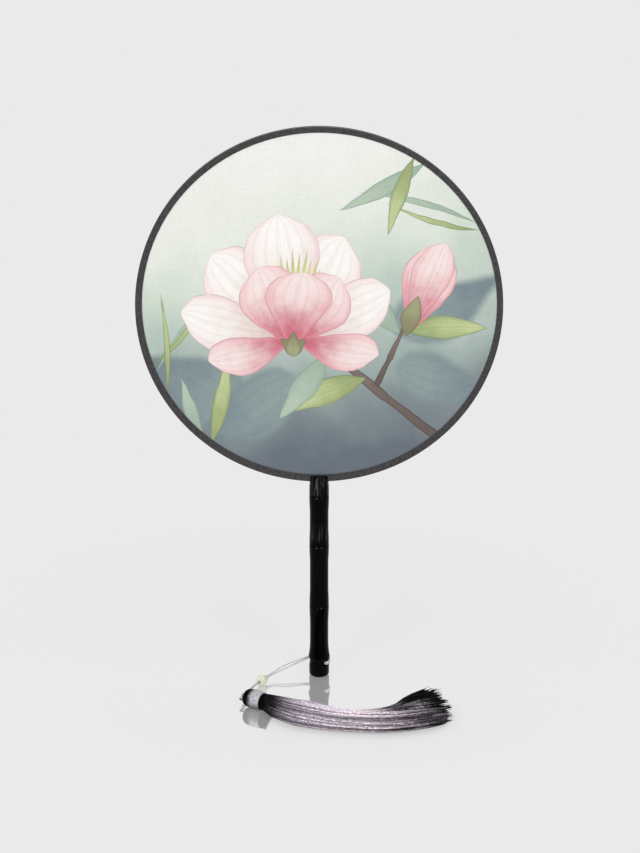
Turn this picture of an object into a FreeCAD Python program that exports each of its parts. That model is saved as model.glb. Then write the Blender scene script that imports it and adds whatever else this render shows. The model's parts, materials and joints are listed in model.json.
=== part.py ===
import FreeCAD, Part
import math
import os
import Sketcher

# Round silk hand fan with a tassel, in millimetres. +Z is up along the handle and the painted face looks
# to -Y. The origin is in the grip. Heights in the sizes are measured up from the handle's butt end.

SIZES = {
    # the whole fan
    "fan_height": 400,
    "face_radius": 125,
    "grip_height": 75,
    # rim: a hoop, a silk on each face of it and a tape folded over their edges
    "rim_width": 4.5,
    "binding_wall": 0.4,
    "silk_thickness": 0.3,
    "hoop_depth": 3,
    "hoop_setback": 0.3,
    "glue_gap": 0.05,
    # tang: the dowel that pins the hoop to the handle
    "tang_radius": 1.5,
    "tang_length": 36,
    "tang_clearance": 0.05,
    # handle
    "handle_radius": 6.6,
    "butt_radius": 7.2,
    "butt_round": 2.2,
    "butt_node_radius": 7.75,
    "butt_node_taper": 12,
    "node_radius": 7,
    "node_rise": 1.2,
    "node_groove": 0.4,
    "node_taper": 12,
    "shoulder_radius": 6.8,
    "shoulder_rise": 2,
    "jaw_reach": 4.2,
    "jaw_round": 1,
    "slot_clearance": 0.05,
    # cord: two strands, one over the other, hitched in a shallow groove through a hole near the butt
    "cord_radius": 0.5,
    "cord_clearance": 0.05,
    "cord_hole_height": 11.2,
    "cord_hole_azimuth": 130,
    "cord_hole_clearance": 0.2,
    "hitch_groove": 0.3,
    "hitch_room": 0.2,
    "bight_room": 0.4,
    "stub_reach": 0.15,
    "swing_gap": 0.2,
    # bead and knots
    "bead_radius": 3.9,
    "bead_clearance": 0.3,
    "bead_gap": 0.25,
    "bead_knot_wall": 0.75,
    "bead_knot_length": 2.2,
    "bead_knot_clearance": 0.1,
    "end_knot_radius": 1.5,
    "link_radius": 1.8,
    "link_gap": 0.15,
    # tassel
    "eye_radius": 1.9,
    "eye_thread_radius": 0.4,
    "head_radius": 7,
    "head_waist_radius": 6.5,
    "head_heading": -31.9,
    "crown_length": 5,
    "crown_tip_radius": 3.6,
    "band_length": 8,
    "neck_radius": 6,
    "neck_length": 5,
    "skirt_heading": -37,
    "skirt_bend_radius": 116,
    "skirt_length": 136,
    "skirt_spread": 48,
    "skirt_depth": 14,
    "skirt_lift": 0.3,
    # cuts run past the solid by this much
    "overrun": 5,
}

# Where the handle's nodes are, as shares of its length from the butt to the rim.
NODE_PLACE_SHARES = (0.367, 0.677, 0.927)

# Each arc of a cord takes this share of the shorter run beside it.
ARC_SHARE = 0.45

# The two free strands, between the handle and the tassel: points chosen by hand, with heights above the
# surface that the fan stands on. The bead sits on the run from BEAD_RUN_START to BEAD_RUN_END.
BEAD_RUN_START = (-34.8, -8.6, 4.0)
BEAD_RUN_END = (-46.7, -27.1, 4.0)
CORD_END = (-53.3, -42.3, 4.5)
UPPER_LEAD = [(-14.4, 2.6, 10.2), (-24.9, -3.2, 8.9)]
LOWER_LEAD = [(-14.2, 2.2, 8.8), (-24.6, -4.0, 6.4)]
UPPER_LAST_BEND = (-51.6, -36.4, 3.1)
LOWER_LAST_BEND = (-51.6, -36.4, 1.7)
LINK_HEADING = -101.5

# The skirt's sections, from the neck to the tips: place along it, and width and depth of each.
SKIRT_PLACE_SHARES = (0.1, 0.22, 0.45, 0.7, 0.87, 1)
SKIRT_WIDTH_SHARES = (0.45, 0.62, 0.55, 0.68, 0.88, 1)
SKIRT_DEPTH_SHARES = (0.95, 1, 0.88, 0.85, 0.8, 0.66)

# The hitch goes round the handle in straight runs this many degrees apart, each joined by an arc.
WRAP_STEP = 45

# Half the height of the two strands together, and of the hitch where its bight goes round them.
PAIR = "(2 * sizes.cord_radius + sizes.cord_clearance)"
HITCH = "(4 * sizes.cord_radius + 2 * sizes.cord_clearance)"

UP = FreeCAD.Vector(0, 0, 1)

doc = FreeCAD.newDocument("hand_fan")
sheet = doc.addObject("Spreadsheet::Sheet", "sizes")
for row, (alias, number) in enumerate(SIZES.items(), start=1):
    sheet.set(f"A{row}", alias)
    sheet.set(f"B{row}", str(number))
    sheet.setAlias(f"B{row}", alias)
doc.recompute()


def size(alias):
    return float(sheet.get(alias))


def heading(degrees):
    angle = math.radians(degrees)
    return FreeCAD.Vector(math.cos(angle), math.sin(angle), 0)


def plane_of(body, role):
    return [feature for feature in body.Origin.OriginFeatures if feature.Role == role][0]


def new_sketch(body, name, role):
    sketch = body.newObject("Sketcher::SketchObject", name)
    sketch.AttachmentSupport = (plane_of(body, role), [""])
    sketch.MapMode = "FlatFace"
    return sketch


def outline_sketch(body, name, role, corners):
    # A closed outline of straight sides. Each corner is a pair of expressions, dimensioned from the origin.
    # The sides start on a unit circle and the dimensions pull them into place.
    sketch = new_sketch(body, name, role)
    count = len(corners)
    start = [heading(360 * index / count) for index in range(count)]
    for index in range(count):
        sketch.addGeometry(Part.LineSegment(start[index], start[(index + 1) % count]), False)
    for index in range(count):
        sketch.addConstraint(Sketcher.Constraint("Coincident", index, 2, (index + 1) % count, 1))
    for index, (across, along) in enumerate(corners):
        for kind, at, text in (("DistanceX", start[index].x, across), ("DistanceY", start[index].y, along)):
            dimension = sketch.addConstraint(Sketcher.Constraint(kind, -1, 1, index, 1, at))
            sketch.setExpression(f"Constraints[{dimension}]", text)
    return sketch


def circle_sketch(body, name, role, radius, height="0"):
    # A circle on the sketch's upright axis, at a height above the origin.
    sketch = new_sketch(body, name, role)
    sketch.addGeometry(Part.Circle(FreeCAD.Vector(0, 1, 0), UP, 1), False)
    sketch.addConstraint(Sketcher.Constraint("PointOnObject", 0, 3, -2))
    lift = sketch.addConstraint(Sketcher.Constraint("DistanceY", -1, 1, 0, 3, 1))
    sketch.setExpression(f"Constraints[{lift}]", height)
    girth = sketch.addConstraint(Sketcher.Constraint("Radius", 0, 1))
    sketch.setExpression(f"Constraints[{girth}]", radius)
    return sketch


def turned(name, role, corners):
    # A body turned about the upright axis of its sketch.
    body = doc.addObject("PartDesign::Body", name)
    sketch = outline_sketch(body, f"{name}_outline", role, corners)
    turn = body.newObject("PartDesign::Revolution", f"{name}_turn")
    turn.Profile = sketch
    turn.ReferenceAxis = (sketch, ["V_Axis"])
    turn.Angle = 360
    doc.recompute()
    return body


def cut_through(body, name, sketch, side, ahead=False):
    # Side is "Symmetric", or "One side" for the half that the sketch looks away from, or towards if ahead.
    pocket = body.newObject("PartDesign::Pocket", name)
    pocket.Profile = sketch
    pocket.Type = "ThroughAll"
    pocket.SideType = side
    pocket.Reversed = ahead
    before = body.Shape.Volume
    doc.recompute()
    print(f"{name} takes {before - body.Shape.Volume:.2f} mm3")


def round_end(body, name, end, radius):
    # Rounds the ring at the lowest end of an upright body, or at the highest.
    base = body.Tip
    face = end(base.Shape.Faces, key=lambda side: side.CenterOfMass.z)
    rings = [
        f"Edge{number}"
        for number, edge in enumerate(base.Shape.Edges, start=1)
        if any(edge.isSame(own) for own in face.Edges)
    ]
    fillet = body.newObject("PartDesign::Fillet", name)
    fillet.Base = (base, rings)
    fillet.setExpression("Radius", radius)
    doc.recompute()


def set_down(piece):
    # Pieces drawn in heights above the butt go down so that the grip's middle is the origin.
    piece.setExpression("Placement.Base.z", "-sizes.grip_height")


def make_handle():
    seat = "(sizes.fan_height - 2 * sizes.face_radius)"
    top = f"{seat} + sizes.jaw_reach"
    groove_foot = f"sizes.cord_hole_height - {HITCH} - sizes.hitch_room"
    groove_top = f"sizes.cord_hole_height + {HITCH} + sizes.hitch_room"
    groove_radius = "sizes.butt_radius - sizes.hitch_groove"
    corners = [
        ("0", "0"),
        ("sizes.butt_radius", "0"),
        ("sizes.butt_radius", groove_foot),
        (groove_radius, groove_foot),
        (groove_radius, groove_top),
        ("sizes.butt_node_radius", f"{groove_top} + sizes.node_rise"),
        ("sizes.handle_radius", f"{groove_top} + sizes.node_rise + sizes.butt_node_taper"),
    ]
    for place_share in NODE_PLACE_SHARES:
        at = f"{place_share} * {seat}"
        corners += [
            ("sizes.handle_radius", f"{at} - sizes.node_taper"),
            ("sizes.node_radius", f"{at} - sizes.node_rise"),
            ("sizes.node_radius - sizes.node_groove", at),
            ("sizes.node_radius", f"{at} + sizes.node_rise"),
            ("sizes.handle_radius", f"{at} + sizes.node_taper"),
        ]
    # the highest node tapers on to the shoulder that the rim sits on
    corners[-1] = ("sizes.handle_radius", f"{seat} - sizes.shoulder_rise")
    corners += [
        ("sizes.shoulder_radius", seat),
        ("sizes.handle_radius", f"{seat} + sizes.shoulder_rise"),
        ("sizes.handle_radius", top),
        ("0", top),
    ]
    body = turned("handle", "XZ_Plane", corners)
    round_end(body, "butt_rounding", min, "sizes.butt_round")
    round_end(body, "jaw_rounding", max, "sizes.jaw_round")
    # the slot that the rim stands in
    half = "(sizes.hoop_depth / 2 + sizes.silk_thickness + sizes.binding_wall + sizes.slot_clearance)"
    floor = f"{seat} - sizes.slot_clearance"
    slot = outline_sketch(body, "slot_outline", "YZ_Plane", [
        (f"-{half}", floor),
        (half, floor),
        (half, f"{top} + sizes.overrun"),
        (f"-{half}", f"{top} + sizes.overrun"),
    ])
    cut_through(body, "rim_slot", slot, "Symmetric")
    # the bore for the tang, from its foot up through the slot
    bore = circle_sketch(body, "tang_bore_outline", "XY_Plane", "sizes.tang_radius + sizes.tang_clearance")
    foot = f"{seat} + sizes.rim_width - sizes.hoop_setback - sizes.tang_length - sizes.tang_clearance"
    bore.setExpression("AttachmentOffset.Base.z", foot)
    cut_through(body, "tang_bore", bore, "One side", ahead=True)
    # the cross hole for the cord
    girth = f"{PAIR} + sizes.cord_hole_clearance"
    hole = circle_sketch(body, "cord_hole_outline", "YZ_Plane", girth, "sizes.cord_hole_height")
    hole.AttachmentOffset = FreeCAD.Placement(
        FreeCAD.Vector(), FreeCAD.Rotation(FreeCAD.Vector(0, 1, 0), size("cord_hole_azimuth"))
    )
    hole.setExpression("AttachmentOffset.Rotation.Angle", "sizes.cord_hole_azimuth")
    cut_through(body, "cord_hole", hole, "Symmetric")
    set_down(body)
    return body


def rim_ring(name, corners):
    # A ring about the face's middle, with a hole at its foot for the tang.
    body = turned(name, "XY_Plane", corners)
    girth = "sizes.tang_radius + sizes.tang_clearance"
    hole = circle_sketch(body, f"{name}_hole_outline", "XY_Plane", girth)
    cut_through(body, f"{name}_hole", hole, "One side")
    body.setExpression("Placement.Base.z", "sizes.fan_height - sizes.face_radius - sizes.grip_height")
    return body


def make_hoop():
    inner = "sizes.face_radius - sizes.rim_width + sizes.hoop_setback"
    outer = "sizes.face_radius - sizes.binding_wall - sizes.glue_gap"
    half = "sizes.hoop_depth / 2"
    return rim_ring("hoop", [(inner, f"-{half}"), (outer, f"-{half}"), (outer, half), (inner, half)])


def make_binding():
    lip = "sizes.face_radius - sizes.rim_width"
    wall = "sizes.face_radius - sizes.binding_wall"
    inside = "(sizes.hoop_depth / 2 + sizes.silk_thickness)"
    outside = f"({inside} + sizes.binding_wall)"
    return rim_ring("rim_binding", [
        (lip, f"-{outside}"),
        ("sizes.face_radius", f"-{outside}"),
        ("sizes.face_radius", outside),
        (lip, outside),
        (lip, inside),
        (wall, inside),
        (wall, f"-{inside}"),
        (lip, f"-{inside}"),
    ])


def make_silk(name, start):
    disc = doc.addObject("Part::Cylinder", name)
    disc.setExpression("Radius", "sizes.face_radius - sizes.binding_wall - sizes.glue_gap")
    disc.setExpression("Height", "sizes.silk_thickness")
    disc.Placement = FreeCAD.Placement(FreeCAD.Vector(), FreeCAD.Rotation(FreeCAD.Vector(1, 0, 0), -90))
    disc.setExpression("Placement.Base.y", start)
    disc.setExpression("Placement.Base.z", "sizes.fan_height - sizes.face_radius - sizes.grip_height")
    return disc


def make_tang():
    dowel = doc.addObject("Part::Cylinder", "tang")
    dowel.setExpression("Radius", "sizes.tang_radius")
    dowel.setExpression("Height", "sizes.tang_length")
    head = "sizes.fan_height - 2 * sizes.face_radius + sizes.rim_width - sizes.hoop_setback"
    dowel.setExpression("Placement.Base.z", f"{head} - sizes.tang_length - sizes.grip_height")
    return dowel


def rounded_route(name, points):
    # Straight runs joined by tangent arcs, each as large as its two runs allow.
    edges = []
    radii = []
    start = points[0]
    for before, corner, after in zip(points, points[1:], points[2:]):
        back = before - corner
        ahead = after - corner
        setback = ARC_SHARE * min(back.Length, ahead.Length)
        half_turn = (math.pi - back.getAngle(ahead)) / 2
        back.normalize()
        ahead.normalize()
        radius = setback / math.tan(half_turn)
        inward = (back + ahead).normalize()
        middle = corner + inward * (radius / math.cos(half_turn) - radius)
        edges.append(Part.LineSegment(start, corner + back * setback).toShape())
        edges.append(Part.Arc(corner + back * setback, middle, corner + ahead * setback).toShape())
        start = corner + ahead * setback
        radii.append(radius)
    edges.append(Part.LineSegment(start, points[-1]).toShape())
    print(f"{name} bend radii {[round(radius, 1) for radius in radii]}")
    return Part.Wire(edges)


def cord_tube(name, points):
    route = rounded_route(name, points)
    girth = Part.Wire(Part.makeCircle(size("cord_radius"), points[0], points[1] - points[0]))
    tube = route.makePipeShell([girth], True, False)
    share = tube.Volume / (math.pi * size("cord_radius") ** 2 * route.Length)
    print(f"{name} length {route.Length:.1f} volume share {share:.4f}")
    return tube


def cord_piece(name, shape):
    piece = doc.addObject("Part::Feature", name)
    piece.Shape = shape
    set_down(piece)
    return piece


# The cord hole's own directions: out of its back mouth, and round the handle from there.
outward = heading(size("cord_hole_azimuth"))
sideways = UP.cross(outward)
hole_middle = UP * size("cord_hole_height")
strand_offset = size("cord_radius") + size("cord_clearance")
wrap_radius = size("butt_radius") - size("hitch_groove") + strand_offset
stub_end = wrap_radius + size("cord_radius") + size("stub_reach")
swing_radius = stub_end + size("swing_gap") + size("cord_radius")


def at_hole(out, across, lift):
    return hole_middle + outward * out + sideways * across + UP * lift


def make_hitch():
    # Each half starts at the back mouth, runs through the hole, round the right side and the back of the
    # handle, and the halves join in a bight that grips both strands where they leave the mouth.
    strand_width = 2 * size("cord_radius") + size("cord_clearance")
    bight_offset = strand_offset + strand_width
    bight_reach = strand_width + size("bight_room")
    corner_radius = wrap_radius / math.cos(math.radians(WRAP_STEP / 2))
    turns = [WRAP_STEP * (step + 0.5) for step in range(180 // WRAP_STEP)]

    def half(side):
        points = [at_hole(out, 0, side * strand_offset) for out in (stub_end, -wrap_radius)]
        for turn in turns:
            place = heading(180 + turn) * corner_radius
            lift = strand_offset + (bight_offset - strand_offset) * turn / 180
            points.append(at_hole(place.x, place.y, side * lift))
        points.append(at_hole(wrap_radius, bight_reach, side * bight_offset))
        return points

    return cord_piece("cord_hitch", cord_tube("cord_hitch", half(1) + half(-1)[::-1]))


def make_strand(name, side, lead, last_bend):
    # A free strand turns about the upright line through its start, so that end is round.
    lift = UP * side * strand_offset
    start = at_hole(swing_radius, 0, side * strand_offset)
    run = [FreeCAD.Vector(BEAD_RUN_START) + lift, FreeCAD.Vector(BEAD_RUN_END) + lift]
    last = FreeCAD.Vector(last_bend)
    knot = FreeCAD.Vector(CORD_END) + lift
    way = (knot - last).normalize()
    end = knot - way * (lift.dot(way) + size("end_knot_radius") + size("cord_clearance"))
    tube = cord_tube(name, [start] + [FreeCAD.Vector(point) for point in lead] + run + [last, end])
    ball = Part.makeSphere(size("cord_radius"), start)
    return cord_piece(name, tube.fuse(ball).removeSplitter())


def bead_run_place(distance):
    along = (FreeCAD.Vector(BEAD_RUN_END) - FreeCAD.Vector(BEAD_RUN_START)).normalize()
    base = FreeCAD.Vector(BEAD_RUN_START) + along * distance - UP * size("grip_height")
    return FreeCAD.Placement(base, FreeCAD.Rotation(UP, along))


def bored(name, solid, bore_radius, length, place):
    # A round solid with a bore along its own axis, set on the strands.
    bore = doc.addObject("Part::Cylinder", f"{name}_bore")
    bore.setExpression("Radius", bore_radius)
    bore.setExpression("Height", f"{length} + 2 * sizes.overrun")
    bore.setExpression("Placement.Base.z", f"-({length} / 2 + sizes.overrun)")
    cut = doc.addObject("Part::Cut", name)
    cut.Base = solid
    cut.Tool = bore
    cut.Placement = place
    return cut


# Where the straight part of the bead's run begins, and what sits on it in turn.
lead_end = FreeCAD.Vector(UPPER_LEAD[-1]) - UP * strand_offset
straight_start = ARC_SHARE * (FreeCAD.Vector(BEAD_RUN_START) - lead_end).Length + size("cord_clearance")
knot_place = straight_start + size("bead_knot_length") / 2
bead_place = straight_start + size("bead_knot_length") + size("bead_gap") + size("bead_radius")


def make_bead_knot():
    bore_radius = f"{PAIR} + sizes.bead_knot_clearance"
    lump = doc.addObject("Part::Ellipsoid", "bead_knot_lump")
    lump.setExpression("Radius1", "sizes.bead_knot_length / 2")
    lump.setExpression("Radius2", f"{bore_radius} + sizes.bead_knot_wall")
    lump.setExpression("Radius3", f"{bore_radius} + sizes.bead_knot_wall")
    return bored("bead_knot", lump, bore_radius, "sizes.bead_knot_length", bead_run_place(knot_place))


def make_bead():
    ball = doc.addObject("Part::Sphere", "jade_bead_ball")
    ball.setExpression("Radius", "sizes.bead_radius")
    bore_radius = f"{PAIR} + sizes.bead_clearance"
    return bored("jade_bead", ball, bore_radius, "2 * sizes.bead_radius", bead_run_place(bead_place))


# From the cord's end knot to the tassel: the link, the eye that hangs in it, and the middle of the head.
link_way = heading(LINK_HEADING)
head_way = heading(size("head_heading"))
end_knot_middle = FreeCAD.Vector(CORD_END)
link_reach = size("end_knot_radius") + size("cord_clearance") + size("cord_radius") + size("link_radius")
link_middle = end_knot_middle + link_way * link_reach
tassel_pivot = link_middle + link_way * size("link_radius")
eye_reach = size("eye_radius") - size("eye_thread_radius") - size("cord_radius") - size("link_gap")
eye_middle = tassel_pivot + head_way * eye_reach
crown_reach = size("eye_radius") + size("eye_thread_radius") + size("cord_clearance")
head_reach = crown_reach + size("crown_length") + size("band_length") / 2
head_middle = eye_middle + head_way * head_reach
head_middle.z = size("head_radius")


def make_end_knot():
    knot = doc.addObject("Part::Sphere", "end_knot")
    knot.setExpression("Radius", "sizes.end_knot_radius")
    knot.Placement.Base = end_knot_middle - UP * size("grip_height")
    return knot


def make_ring(name, radius, thread_radius, middle, axis):
    ring = doc.addObject("Part::Torus", name)
    ring.setExpression("Radius1", radius)
    ring.setExpression("Radius2", thread_radius)
    ring.Placement = FreeCAD.Placement(middle - UP * size("grip_height"), FreeCAD.Rotation(UP, axis))
    return ring


def head_piece(name, corners):
    # A turned piece of the tassel's head, drawn along the head's axis from the middle of its band.
    body = turned(name, "XZ_Plane", corners)
    place = head_middle - UP * size("grip_height")
    body.Placement = FreeCAD.Placement(place, FreeCAD.Rotation(UP, head_way))
    return body


def make_head():
    half_band = "sizes.band_length / 2"
    tip = f"-({half_band} + sizes.crown_length)"
    brow_radius = "(sizes.crown_tip_radius + sizes.head_waist_radius) / 2"
    neck_end = f"{half_band} + sizes.neck_length"
    crown = head_piece("tassel_crown", [
        ("0", tip),
        ("sizes.crown_tip_radius", tip),
        (brow_radius, f"-({half_band} + 3 * sizes.crown_length / 4)"),
        ("sizes.head_waist_radius", f"-({half_band} + sizes.crown_length / 4)"),
        ("sizes.head_waist_radius", f"-{half_band}"),
        ("0", f"-{half_band}"),
    ])
    band = head_piece("tassel_band", [
        ("0", f"-{half_band}"),
        ("sizes.head_waist_radius", f"-{half_band}"),
        ("sizes.head_radius", "-sizes.band_length / 4"),
        ("sizes.head_radius", "sizes.band_length / 4"),
        ("sizes.head_waist_radius", half_band),
        ("0", half_band),
    ])
    neck = head_piece("neck_wrap", [
        ("0", half_band),
        ("sizes.neck_radius", half_band),
        ("sizes.neck_radius", neck_end),
        ("0", neck_end),
    ])
    return [crown, band, neck]


def skirt_section(name, along, way, width, depth, height):
    # An oval across the skirt, as wide and deep as the bundle is there, with its middle at a height.
    oval = doc.addObject("Part::Ellipse", name)
    oval.setExpression("MajorRadius", f"{width} / 2")
    oval.setExpression("MinorRadius", f"{depth} / 2")
    oval.Placement = FreeCAD.Placement(along, FreeCAD.Rotation(UP.cross(way), UP, way, "ZXY"))
    oval.setExpression("Placement.Base.z", f"{height} - sizes.grip_height")
    return oval


def make_skirt():
    # The bundle leaves the neck and bends at a steady rate as it lies on the surface.
    neck_reach = size("band_length") / 2 + size("neck_length") + size("cord_clearance")
    neck_end = head_middle + head_way * neck_reach
    bend = size("skirt_bend_radius")
    first = heading(size("skirt_heading"))
    bend_middle = neck_end + UP.cross(first) * bend
    girth = "2 * sizes.neck_radius"
    sections = [skirt_section("skirt_root", neck_end, head_way, girth, girth, "sizes.head_radius")]
    stations = zip(SKIRT_PLACE_SHARES, SKIRT_WIDTH_SHARES, SKIRT_DEPTH_SHARES)
    for number, (place_share, width_share, depth_share) in enumerate(stations, start=1):
        turned_by = size("skirt_heading") + math.degrees(place_share * size("skirt_length") / bend)
        way = heading(turned_by)
        along = bend_middle - UP.cross(way) * bend
        depth = f"{depth_share} * sizes.skirt_depth"
        width = f"{width_share} * sizes.skirt_spread"
        height = f"{depth} / 2 + sizes.skirt_lift"
        sections.append(skirt_section(f"skirt_section_{number}", along, way, width, depth, height))
    skirt = doc.addObject("Part::Loft", "tassel_skirt")
    skirt.Sections = sections
    skirt.Solid = True
    skirt.Ruled = False
    return skirt


pieces = [
    make_handle(),
    make_hoop(),
    make_binding(),
    make_silk("front_silk", "-(sizes.hoop_depth / 2 + sizes.silk_thickness)"),
    make_silk("back_silk", "sizes.hoop_depth / 2"),
    make_tang(),
    make_hitch(),
    make_strand("cord_upper", 1, UPPER_LEAD, UPPER_LAST_BEND),
    make_strand("cord_lower", -1, LOWER_LEAD, LOWER_LAST_BEND),
    make_bead_knot(),
    make_bead(),
    make_end_knot(),
    make_ring("end_link", "sizes.link_radius", "sizes.cord_radius", link_middle, UP.cross(link_way)),
    make_ring("tassel_eye", "sizes.eye_radius", "sizes.eye_thread_radius", eye_middle, UP),
    *make_head(),
    make_skirt(),
]
doc.recompute()

failed = [item.Name for item in doc.Objects if {"Invalid", "Error"} & set(item.State)]
failed += [piece.Label for piece in pieces if piece.Shape.isNull() or not piece.Shape.isValid()]
if failed:
    raise RuntimeError(f"these failed: {failed}")

os.makedirs("parts", exist_ok=True)
for piece in pieces:
    piece.Shape.exportStep(f"parts/{piece.Label}.step")
    box = piece.Shape.BoundBox
    print(f"{piece.Label}: {len(piece.Shape.Solids)} solid, {piece.Shape.Volume:.1f} mm3, "
          f"x {box.XMin:.1f} to {box.XMax:.1f}, y {box.YMin:.1f} to {box.YMax:.1f}, "
          f"z {box.ZMin:.1f} to {box.ZMax:.1f}")
print(f"cord swing at {at_hole(swing_radius, 0, 0) - UP * size('grip_height')}")
print(f"tassel pivot at {tassel_pivot - UP * size('grip_height')}")
print(f"bead at {bead_run_place(bead_place).Base}")
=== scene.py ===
import json
import random
from functools import partial
from math import atan2, cos, hypot, pi, radians, sin, sqrt

import bmesh
import bpy
from mathutils import Matrix, Vector


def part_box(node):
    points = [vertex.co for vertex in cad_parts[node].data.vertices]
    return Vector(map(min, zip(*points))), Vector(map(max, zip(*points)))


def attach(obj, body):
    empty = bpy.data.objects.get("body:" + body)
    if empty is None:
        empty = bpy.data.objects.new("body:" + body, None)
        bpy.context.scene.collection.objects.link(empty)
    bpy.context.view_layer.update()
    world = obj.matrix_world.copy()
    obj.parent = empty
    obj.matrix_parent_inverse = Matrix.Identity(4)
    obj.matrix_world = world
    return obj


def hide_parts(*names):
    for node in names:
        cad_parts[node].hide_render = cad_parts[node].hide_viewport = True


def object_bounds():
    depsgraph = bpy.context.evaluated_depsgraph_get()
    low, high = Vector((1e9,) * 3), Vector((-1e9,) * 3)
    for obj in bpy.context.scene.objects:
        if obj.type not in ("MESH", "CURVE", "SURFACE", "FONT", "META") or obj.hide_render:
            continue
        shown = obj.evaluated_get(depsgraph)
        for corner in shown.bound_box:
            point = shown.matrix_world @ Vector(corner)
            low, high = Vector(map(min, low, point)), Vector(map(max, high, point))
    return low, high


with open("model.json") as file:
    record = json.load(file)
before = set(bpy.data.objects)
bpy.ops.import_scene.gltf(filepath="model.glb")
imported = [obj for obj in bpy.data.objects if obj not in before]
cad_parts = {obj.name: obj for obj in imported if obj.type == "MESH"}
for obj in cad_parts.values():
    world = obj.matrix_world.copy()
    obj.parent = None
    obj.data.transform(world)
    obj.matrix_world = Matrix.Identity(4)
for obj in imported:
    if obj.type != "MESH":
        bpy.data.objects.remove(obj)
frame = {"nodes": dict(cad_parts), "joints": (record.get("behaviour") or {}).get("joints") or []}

cad_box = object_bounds()
floor_height = cad_box[0].z


# Hoop and tang: a strip of split bamboo bent into a ring, and a bamboo dowel that pins it to the handle. The
# silks, the binding and the handle hide both, so they stay bare wood with its fibres showing.
def linear(colour):
    # A colour as a shader needs it, from an sRGB hex code. Anything else stays as it is.
    if not isinstance(colour, str):
        return colour
    channels = [int(colour[start:start + 2], 16) / 255 for start in (1, 3, 5)]
    return (*(c / 12.92 if c <= 0.04045 else ((c + 0.055) / 1.055) ** 2.4 for c in channels), 1)


def add_node(tree, kind, *links, out=0, stops=(), **settings):
    # Adds a node and gives back one of its outputs. A sum's operation follows its kind. Links are a value or
    # another node's output for each input in turn, or one table of them by the input's name or number. Stops
    # are a colour ramp's places and colours.
    kind, _, operation = kind.partition(" ")
    node = tree.nodes.new(f"ShaderNode{kind}")
    if operation:
        node.operation = operation
    for name, value in settings.items():
        setattr(node, name, value)
    table = links[0] if links and isinstance(links[0], dict) else dict(enumerate(links))
    for socket, value in table.items():
        if isinstance(value, bpy.types.NodeSocket):
            tree.links.new(value, node.inputs[socket])
        else:
            node.inputs[socket].default_value = linear(value)
    if stops:
        while len(node.color_ramp.elements) < len(stops):
            node.color_ramp.elements.new(0.5)
        for element, (at, colour) in zip(node.color_ramp.elements, stops):
            element.position, element.color = at, linear(colour)
    return node.outputs[out]


def new_material(name, **sockets):
    # A material whose shader has these values set on its own sockets, given with _ for each space. With it
    # come the call that adds nodes to it, its shader and the place on the piece.
    material = bpy.data.materials.new(name)
    material.use_nodes = True
    add = partial(add_node, material.node_tree)
    shader = material.node_tree.nodes["Principled BSDF"]
    for socket, value in sockets.items():
        shader.inputs[socket.replace("_", " ")].default_value = linear(value)
    return material, add, shader, add("TexCoord", out="Object")


def plug(shader, **outputs):
    # Links these outputs to the shader's own sockets, given with _ for each space.
    for socket, output in outputs.items():
        shader.id_data.links.new(output, shader.inputs[socket.replace("_", " ")])


def dress(piece, material):
    piece.data.materials.clear()
    piece.data.materials.append(material)


colour_mix = {"data_type": "RGBA", "out": 2}
fibre_spacing = 0.0006
split_bamboo, add, shader, place = new_material("split_bamboo", Roughness=0.6)
fibres = add("TexNoise", {"Vector": place, "Scale": 1 / fibre_spacing, "Detail": 3})
colour = add("Mix", {0: fibres, 6: "#b8975c", 7: "#e0c793"}, **colour_mix)
plug(shader, Base_Color=colour)
for node in ("hoop", "tang"):
    dress(frame["nodes"][node], split_bamboo)


# Silks: two discs of thin plain-woven silk, stretched over the hoop's faces and glued. The front one is
# washed with water colour and painted with a magnolia branch, and the back one shows it faintly.
silk_sides = 160
silk_ring_width = 0.018
silk_rings = 6


def start_piece(add_shape, name, **sizes):
    # A new piece that starts as a plain shape, with its place, turn and scale taken into its mesh.
    bpy.ops.object.select_all(action="DESELECT")
    add_shape(**sizes)
    piece = bpy.context.object
    piece.name = name
    bpy.ops.object.transform_apply(location=True, rotation=True, scale=True)
    return piece


def apply_modifier(piece, kind, **settings):
    modifier = piece.modifiers.new(kind.title(), kind)
    for name, value in settings.items():
        setattr(modifier, name, value)
    bpy.context.view_layer.objects.active = piece
    bpy.ops.object.modifier_apply(modifier=modifier.name)


def finish_piece(piece, material, body, node):
    # Gives a piece its material and the body it rides on, and hides the node it stands for.
    dress(piece, material)
    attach(piece, body)
    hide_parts(node)


def silk_disc(name, node):
    low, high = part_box(node)
    disc = start_piece(
        bpy.ops.mesh.primitive_circle_add, name, vertices=silk_sides, radius=(high.x - low.x) / 2,
        fill_type="NGON", location=(low + high) / 2, rotation=(pi / 2, 0, 0))
    bpy.ops.object.mode_set(mode="EDIT")
    bpy.ops.mesh.select_all(action="SELECT")
    for ring in range(silk_rings):
        bpy.ops.mesh.inset(thickness=silk_ring_width)
    bpy.ops.mesh.poke()
    bpy.ops.object.mode_set(mode="OBJECT")
    apply_modifier(disc, "SOLIDIFY", thickness=high.y - low.y, offset=0)
    return disc


feathered = {"interpolation_type": "SMOOTHSTEP", "clamp": False}
outline_fade = 2.6
rib_ink = 0.4
vein_turns = 19
vein_reach = (0.4, 1)
vein_ink = 0.1
flush_edge = 3
pigment_loads = (0.35, 1.3)
blush_waver = 0.18
blush_reach = (0.14, 0.89)


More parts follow.
